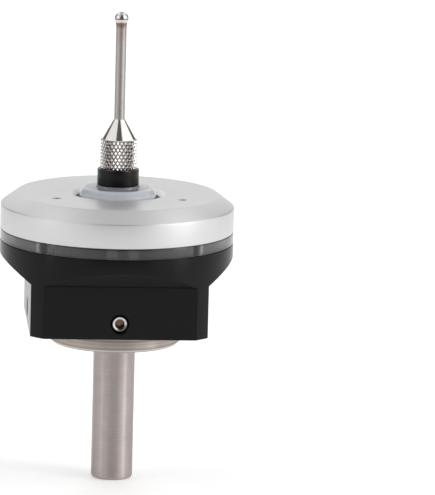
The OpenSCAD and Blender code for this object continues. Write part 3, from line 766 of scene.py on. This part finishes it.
def setScrewSteel(look):
    finish = Finish("bright screw steel, dark in its socket")
    upwards = finish.z - setScrew["height"] * mm
    onSide = (abs(finish.x) - abs(finish.y)).over(*look["onSide"])
    sideways = finish.x + (finish.y - finish.x) * onSide
    off = abs(finish.x).least(abs(finish.y)).hypot(upwards)
    marks = finish.lines(off, look["marks"])
    # Beyond the face's edge the screw is painted dark, painted shade where it sits down in its countersink.
    bright = finish.mix(off.over(*look["rimShadeFrom"]), finish.mix(marks, *look["bright"]), look["rim"])
    corner = (sideways - upwards * look["cornerLean"]).over(*look["cornerFrom"])
    bright = finish.mix(corner, bright, look["corner"])  # the rim's lower corner lies in shade
    # The hex socket is painted dark brown, painted shade in the recess.
    base = finish.mix(off.over(*look["socketShadeUpTo"]), look["socket"], bright)
    return finish.surface(look, base, roughened(look, marks), marks)


def makeSetScrew(size, name, angle):
    end = size["end"]
    key = size["key"] / 2
    dish = end - size["dish"]
    cone = size["tip"] + size["radius"] - size["tipRadius"]
    screw = lathe(name, [
        (0, size["tip"]), (size["tipRadius"], size["tip"]),
        *threaded(size["radius"], cone, end - size["bevel"], size["pitch"], size["thread"]),
        (size["radius"] - size["bevel"], end, size["edge"]), (key + size["bevel"], end, size["dishEdge"]),
        (key, dish), (0, dish)], "set_screw_steel", steps=quality["setScrew"])
    carve(screw, [prism("key", hexagon(size["key"]), end - size["keyDepth"], end + size["spare"])])
    screw.data.transform(Matrix.Scale(mm, 4) @ facing(angle, size["height"]) @ Matrix.Scale(1 / mm, 4))
    return screw


finishes["set_screw_steel"] = setScrewSteel(setScrewLook)
for sideName, sideAngle in setScrew["sides"].items():
    ready(makeSetScrew(setScrew, f"grub_screw_{sideName}", sideAngle), f"set_screw_{sideName}",
          "set_screw_steel", f"set_screw_{sideName}")
print("screws: four clamp screws, four set screws")

# Spring that seats the spider: a tree winds its wire
spring = {"radius": 3.6, "wire": 0.25, "low": 8.6, "high": 13.29, "turns": 4.0, "steps": 48, "sides": 12,
          "stroke": 1.5, "air": 0.01}


def wireWinder():
    tree = Maker("wound wire", Radius="Float", Wire="Float", Low="Float", Rise="Float", Turns="Float",
                 Steps="Int", Sides="Int")
    radius, wire, low, rise, turns, steps, sides = tree.given(
        "Radius", "Wire", "Low", "Rise", "Turns", "Steps", "Sides")
    helix = tree.node("GeometryNodeCurveSpiral", None, {
        "Resolution": steps, "Rotations": turns, "Start Radius": radius, "End Radius": radius,
        "Height": rise})
    helix = tree.node("GeometryNodeTransform", None, {
        "Geometry": helix, "Translation": tree.vector(0.0, 0.0, low)})
    section = tree.node("GeometryNodeCurvePrimitiveCircle", None, {"Resolution": sides, "Radius": wire})
    return tree.ends(tree.node("GeometryNodeCurveToMesh", None, {
        "Curve": helix, "Profile Curve": section, "Fill Caps": True}))


def makeSpring():
    middle = spring["wire"] + spring["air"]
    return wireWinder().make(
        "seating_spring", "spring_steel", Radius=spring["radius"] * mm, Wire=spring["wire"] * mm,
        Low=(spring["low"] + middle) * mm, Rise=(spring["high"] - spring["low"] - 2 * middle) * mm,
        Turns=spring["turns"], Steps=spring["steps"], Sides=spring["sides"])


coil = ready(makeSpring(), "probe_body", "spring_steel", "spring")
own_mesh(coil)
print("spring wound")

# Boot and sleeve, on the spider's stem
boot = {"stem": 2.0, "radius": 5.5, "wall": 0.9, "skirt": 21.2, "coverTop": cover["top"], "top": 22.6,
        "topRadius": 5.0, "collar": 3.175, "collarTop": 22.9, "lean": 0.35, "inside": 0.2, "edge": 0.1,
        "shoulder": 0.3, "crown": 0.8, "collarEdge": 0.05}
bootLook = {"wall": ((0.47, 0.50, 0.545), (0.53, 0.555, 0.59)), "wallFrom": (4.45, 4.75),
            "foot": (0.62, 0.64, 0.67), "footPaintedLightUpTo": (21.5, 22.0), "middle": (0.20, 0.21, 0.225),
            "skin": ((0.34, 0.345, 0.355), (0.38, 0.385, 0.395)), "sleeveShadeFrom": (2.6, 3.8),
            "cloud": (1.2, 2.0), "grain": (0.08, 1.0), "rough": 0.05, "swings": [0.04], "relief": 0.001,
            "sockets": {"IOR": 1.5, "Subsurface Weight": 0.25, "Subsurface Scale": 1.0,
                        "Subsurface Radius": (0.0003, 0.00035, 0.0004)}}
sleeve = {"radius": 3.0, "low": boot["collarTop"], "top": 25.25, "edge": 0.15, "rim": 2.5, "rimFloor": 25.0,
          "rimEdge": 0.05}


def bootRubber(look):
    finish = Finish("translucent silicone")
    cloud = finish.specks(*look["cloud"])
    grain = finish.specks(*look["grain"])
    # The wall's foot is painted lighter, painted light against the shade of the cover's mouth.
    wall = finish.mix(finish.z.over(*look["footPaintedLightUpTo"]), look["foot"], finish.mix(cloud, *look["wall"]))
    skin = finish.mix(cloud, *look["skin"])
    # A band along the middle of the top is painted dark, a painted reflection of the black sleeve above it.
    skin = finish.mix(abs(finish.x).over(*look["sleeveShadeFrom"]), look["middle"], skin)
    # The top is darker than the wall: partly the dark spider under thin rubber, partly painted shade under
    # the sleeve.
    base = finish.mix(finish.radius().over(*look["wallFrom"]), skin, wall)
    return finish.surface(look, base, roughened(look, cloud), grain)


def makeBoot():
    under = boot["top"] - boot["wall"]
    inner = boot["radius"] - boot["wall"]
    return lathe("rubber_boot", [
        (boot["stem"], under), (inner - boot["lean"], under, boot["inside"]),
        (inner, boot["skirt"], boot["edge"]), (boot["radius"], boot["skirt"], boot["edge"]),
        (boot["radius"], boot["coverTop"], boot["shoulder"]),
        (boot["topRadius"], boot["top"], boot["crown"]), (boot["collar"], boot["top"], boot["edge"]),
        (boot["collar"], boot["collarTop"], boot["collarEdge"]), (boot["stem"], boot["collarTop"])],
        "boot_rubber")


def makeSleeve():
    return lathe("black_sleeve", [
        (boot["stem"], sleeve["low"]), (sleeve["radius"], sleeve["low"], sleeve["edge"]),
        (sleeve["radius"], sleeve["top"], sleeve["edge"]),
        (sleeve["rim"], sleeve["top"], sleeve["rimEdge"]), (sleeve["rim"], sleeve["rimFloor"]),
        (boot["stem"], sleeve["rimFloor"])], "black_plastic")


finishes["boot_rubber"] = bootRubber(bootLook)
ready(makeBoot(), "spider", "boot_rubber", "boot")
ready(makeSleeve(), "spider", "black_plastic", "sleeve")
print("boot and sleeve")

# Stylus base: stud, knurled grip and nose cone
grip = {"radius": 2.65, "depth": 0.19, "low": 25.3, "high": 29.6, "teeth": 28, "lead": 0.975, "flat": 0.82,
        "around": 10, "along": 40, "end": 0.14}
stud = {"end": 21.0, "radius": 1.0, "edge": 0.2, "shoulder": 2.4, "shoulderLow": 25.02}
nose = {"neck": 2.28, "neckLow": 29.2, "low": 29.35, "radius": 2.44, "land": 0.25, "edge": 0.05,
        "tip": 0.78, "tipEdge": 0.03, "top": 32.45, "rod": 0.75, "rodEnd": 29.05}
gripLook = {"bright": ((0.90, 0.875, 0.845), (0.82, 0.79, 0.76)), "valleyPaintedShade": (0.26, 0.24, 0.23),
            "valleyShadeUpTo": (2.5, 2.6), "fade": 0.05, "haze": (0.5, 3.0), "rough": 0.12, "swings": [0.1],
            "relief": 0.0004, "sockets": metal}


def nickelPlate(look):
    finish = Finish("bright nickel plate, painted shade in the knurl")
    haze = finish.specks(*look["haze"])
    # The knurl's valleys are painted dark, painted shade in its grooves.
    deep = 1 - finish.radius().over(*look["valleyShadeUpTo"])
    above = finish.z.over(grip["low"], grip["low"] + look["fade"])
    below = 1 - finish.z.over(grip["high"] - look["fade"], grip["high"])
    base = finish.mix(deep * above * below, finish.mix(haze, *look["bright"]), look["valleyPaintedShade"])
    return finish.surface(look, base, roughened(look, haze), haze)


def knurlRoller():  # presses two sets of slanting grooves into a cylinder
    tree = Maker("diamond knurl", Radius="Float", Depth="Float", Low="Float", High="Float", Teeth="Int",
                 Lead="Float", Flat="Float", End="Float", Around="Int", Along="Int")
    radius, depth, low, high, teeth, lead, flat, end, around, along = tree.given(
        "Radius", "Depth", "Low", "High", "Teeth", "Lead", "Flat", "End", "Around", "Along")
    blank = tree.node("GeometryNodeMeshCylinder", {"fill_type": "NGON"}, {
        "Vertices": around * teeth, "Side Segments": along, "Radius": 1.0, "Depth": 1.0})
    x, y, z = tree.parts(tree.node("GeometryNodeInputPosition"))
    up = (z + 0.5) * (high - low)  # the blank stands half above and half below its middle
    tooth = y.turns(x) * teeth
    diamond = ((tooth + up / lead).wave().least((tooth - up / lead).wave()) / flat).least(1.0)
    ending = (up.least(high - low - up) / end).least(1.0)
    reach = radius - depth * (1 - diamond.least(ending))
    return tree.ends(tree.node("GeometryNodeSetPosition", None, {
        "Geometry": blank, "Position": tree.vector(x * reach, y * reach, low + up)}))


def makeGrip():
    return knurlRoller().make(
        "knurled_grip", "nickel_plate", Radius=grip["radius"] * mm, Depth=grip["depth"] * mm,
        Low=grip["low"] * mm, High=grip["high"] * mm, Teeth=grip["teeth"], Lead=grip["lead"] * mm,
        Flat=grip["flat"], End=grip["end"] * mm, Around=grip["around"], Along=grip["along"])


def makeStud():
    return lathe("base_stud", [
        (0, stud["end"]), (stud["radius"], stud["end"], stud["edge"]),
        (stud["radius"], stud["shoulderLow"]), (stud["shoulder"], stud["shoulderLow"]),
        (stud["shoulder"], grip["low"]), (0, grip["low"])], "nickel_plate")


def makeNose():
    return lathe("nose_cone", [
        (0, nose["neckLow"]), (nose["neck"], nose["neckLow"]), (nose["neck"], nose["low"]),
        (nose["radius"], nose["low"], nose["edge"]),
        (nose["radius"], nose["low"] + nose["land"], nose["edge"]),
        (nose["tip"], nose["top"], nose["tipEdge"]), (nose["rod"], nose["top"]),
        (nose["rod"], nose["rodEnd"]), (0, nose["rodEnd"])], "nickel_plate")


finishes["nickel_plate"] = nickelPlate(gripLook)
for piece in (makeGrip(), makeStud(), makeNose()):
    ready(piece, "stylus", "nickel_plate", "stylus_base")

# Rod, brazed joint and ball
tip = {"rod": nose["rod"], "rodLow": nose["rodEnd"], "ball": 1.0, "centre": 47.0, "cupSteps": 8,
       "steps": 48}
braze = {"low": 46.08, "thick": 0.05, "edge": 0.03, "swell": 0.075, "shoulder": 0.6, "from": -37,
         "steps": 3}
rodLook = {"ground": ((0.54, 0.515, 0.50), (0.35, 0.33, 0.315)), "tones": (0.6, 0.3),
           "straw": (0.42, 0.32, 0.27), "strawFrom": (42.0, 46.1), "strawLeast": 0.35, "strawCloud": 0.5,
           "dark": (0.14, 0.09, 0.07), "darkFrom": (45.5, 46.1), "darkest": 0.6, "marks": 0.06,
           "cloud": (1.4, 3.0), "rough": 0.52, "swings": [0.12], "relief": 0.0006,
           "sockets": {**metal, "Anisotropic": 0.85, "Anisotropic Rotation": 0.25}}
ballLook = {"steel": (0.62, 0.62, 0.63), "joint": (0.05, 0.045, 0.042), "jointEdge": (0.03, 0.13),
            "jointShade": 0.9, "collar": ((0.74, 0.68, 0.65), (0.62, 0.55, 0.51)),
            "collarUpTo": (46.82, 46.9), "haze": (0.5, 2.0), "rough": 0.03, "collarRough": 0.25,
            "hazeRough": 0.02, "relief": 0.0004, "sockets": metal}


def rodSteel(look):
    finish = Finish("ground rod, straw tint by the brazed ball")
    marks = finish.lines(finish.z, look["marks"])
    cloud = finish.specks(*look["cloud"])
    straw = finish.z.over(*look["strawFrom"]) * (look["strawLeast"] + look["strawCloud"] * cloud)
    base = finish.mix(weighed((marks, cloud), look["tones"]), *look["ground"])
    base = finish.mix(straw, base, look["straw"])
    base = finish.mix(finish.z.over(*look["darkFrom"]) * look["darkest"], base, look["dark"])
    return finish.surface(look, base, roughened(look, marks), marks)


def brazedBall(look):
    finish = Finish("polished ball, brazed to its rod")
    haze = finish.specks(*look["haze"])
    collar = 1 - finish.z.over(*look["collarUpTo"])
    joint = finish.z.near(tip["centre"], *look["jointEdge"])
    steel = finish.mix(joint * look["jointShade"], look["steel"], look["joint"])
    base = finish.mix(collar, steel, finish.mix(haze, *look["collar"]))
    rough = look["rough"] + collar * look["collarRough"] + haze * look["hazeRough"]
    return finish.surface(look, base, rough, haze)


def ballArc(low, high, steps):  # outline of the ball between two angles from its middle
    angles = [radians(low + (high - low) * k / steps) for k in range(steps + 1)]
    return [(tip["ball"] * cos(angle), tip["centre"] + tip["ball"] * sin(angle)) for angle in angles]


def makeTip():
    joint = -degrees(acos(tip["rod"] / tip["ball"]))  # where the rod's side meets the ball
    rod = lathe("stylus_shaft", [
        (0, tip["rodLow"]), (tip["rod"], tip["rodLow"]),
        *ballArc(joint, -90, tip["cupSteps"])], "rod_steel", steps=quality["rod"])
    collar = lathe("brazed_ring", [
        (tip["rod"], braze["low"]),
        (tip["rod"] + braze["thick"], braze["low"] + braze["thick"], braze["edge"]),
        (tip["rod"] + braze["swell"], tip["centre"] - braze["shoulder"]),
        *ballArc(braze["from"], joint, braze["steps"])], "rod_steel", steps=quality["rod"])
    ball = lathe("measuring_ball", ballArc(-90, 90, tip["steps"]), "polished_ball", steps=quality["ball"])
    return rod, collar, ball


finishes["rod_steel"] = rodSteel(rodLook)
finishes["polished_ball"] = brazedBall(ballLook)
for piece, slotName, nodeName in zip(makeTip(), ("rod_steel", "rod_steel", "polished_ball"),
                                     ("stylus_rod", "stylus_rod", "stylus_ball")):
    ready(piece, "stylus", slotName, nodeName)
print("stylus: base, rod and ball")

# The CAD's own nodes take the same finishes
for node in frame["nodes"].values():
    for place in node.material_slots:
        place.material = finishes[place.material.name]
print("finishes:", len(finishes))

# Studio: floor, lights, camera
studio = {
    "floor": {"height": shank["end"], "size": 6000, "thickness": 5, "white": 0.95, "tint": 0.98,
              "cloud": (300.0, 2.0), "rough": 0.6, "swings": [0.1],
              "sockets": {"Emission Color": (1, 1, 1, 1), "Emission Strength": 0.27}},
    "lights": {
        "right": {"place": (545, -440, 250), "size": (350, 600), "power": 0.2},
        "right strip": {"place": (588, -278, 230), "size": (170, 480), "power": 0.95},
        "left strip": {"place": (-611, -222, 230), "size": (90, 480), "power": 0.32},
        "behind": {"place": (0, 700, 620), "size": (1400, 600), "power": 1.2}},
    "aim": (0, 0, 12)}
room = {"dim": 0.1, "above": 0.6, "ceiling": (0.9, 0.96), "middle": (-0.01, 0.01),
        "windows": {"left": 0.8, "right": 1.08, "side": (0.48, 0.58), "lean": 0.3, "back": (0.38, 0.5)},
        "backdrop": {"power": 0.85, "front": (0.3, 0.55), "side": (0.44, 0.54), "top": (0.5, 0.75)},
        "aloft": {"left": 0.62, "right": 0.3, "foot": (0.62, 0.75), "side": (0.15, 0.3),
                  "front": (-0.05, 0.1)}}
camera = {"azimuth": -3.33, "elevation": 10.4, "distance": 900, "over": (0, 0, 16.5),
          "right": 14.54, "down": 2.475, "lean": 1.456,  # where it aims from over, and its roll
          "lens": 454.5, "sensor": 36, "near": 10, "far": 20000}


def paleFloor(look):
    finish = Finish("pale floor")
    cloud = finish.specks(*look["cloud"])
    white = (look["white"],) * 3
    base = finish.mix(cloud, white, darker(white, look["tint"]))
    return finish.surface(look, base, roughened(look, cloud))


def makeFloor(setting):
    floor = setting["floor"]
    half = floor["size"] / 2
    square = [(-half, -half), (half, -half), (half, half), (-half, half)]
    piece = prism("floor", square, floor["height"] - floor["thickness"], floor["height"])
    piece.data.materials.append(paleFloor(floor))
    return piece


def softbox(name, place, size, power):
    light = bpy.data.lights.new(name, "AREA")
    light.shape = "RECTANGLE"
    light.size = size[0] * mm
    light.size_y = size[1] * mm
    light.energy = power
    lamp = bpy.data.objects.new(name, light)
    lamp.location = Vector(place) * mm
    lamp.rotation_euler = (Vector(place) - Vector(studio["aim"])).to_track_quat("Z", "Y").to_euler()
    bpy.context.scene.collection.objects.link(lamp)


def roomLight():  # a dim room: windows at both sides, a backdrop, light from above and two high patches
    windows, backdrop, aloft = room["windows"], room["backdrop"], room["aloft"]
    world = bpy.data.worlds.new("room")
    world.use_nodes = True
    sky = Graph(world.node_tree)
    sky.tree.nodes.clear()
    x, y, z = sky.parts(sky.node("ShaderNodeTexCoord", output="Generated"))
    onRight = x.rise(*room["middle"])
    ceiling = z.rise(*room["ceiling"])
    panes = (abs(x) + z * windows["lean"]).rise(*windows["side"]) * (1 - y.rise(*windows["back"]))
    aside = 1 - abs(x).rise(*backdrop["side"])
    pale = y.rise(*backdrop["front"]) * aside * (1 - z.rise(*backdrop["top"]))
    high = z.rise(*aloft["foot"]) * abs(x).rise(*aloft["side"]) * y.rise(*aloft["front"])
    light = room["dim"] + pale * backdrop["power"] + ceiling * room["above"]
    for patch, power in ((panes, windows), (high, aloft)):
        strength = power["left"] + onRight * (power["right"] - power["left"])
        light = light + patch * (1 - ceiling) * strength
    glow = sky.node("ShaderNodeBackground", None, {"Color": (1, 1, 1, 1), "Strength": light})
    sky.node("ShaderNodeOutputWorld", None, {"Surface": glow})
    return world


def aimCamera():
    over = Vector(camera["over"])
    turn = radians(camera["azimuth"])
    rise = radians(camera["elevation"])
    place = over + camera["distance"] * Vector((sin(turn) * cos(rise), -cos(turn) * cos(rise), sin(rise)))
    ahead = (over - place).normalized()
    right = ahead.cross(Vector((0, 0, 1))).normalized()
    up = right.cross(ahead)
    ahead = (over + right * camera["right"] - up * camera["down"] - place).normalized()
    right = ahead.cross(Vector((0, 0, 1))).normalized()
    axes = Matrix((right, right.cross(ahead), -ahead)).transposed()
    eye = bpy.data.objects.new("camera", bpy.data.cameras.new("camera"))
    eye.data.lens = camera["lens"]
    eye.data.sensor_width = camera["sensor"]
    eye.data.clip_start = camera["near"] * mm
    eye.data.clip_end = camera["far"] * mm
    eye.matrix_world = Matrix.Translation(place * mm) @ axes.to_4x4() @ turnedBy(camera["lean"])
    bpy.context.scene.collection.objects.link(eye)
    bpy.context.scene.camera = eye


makeFloor(studio)
for name, light in studio["lights"].items():
    softbox(name, **light)
bpy.context.scene.world = roomLight()
bpy.context.scene.view_settings.view_transform = "Standard"
aimCamera()
print("studio ready")
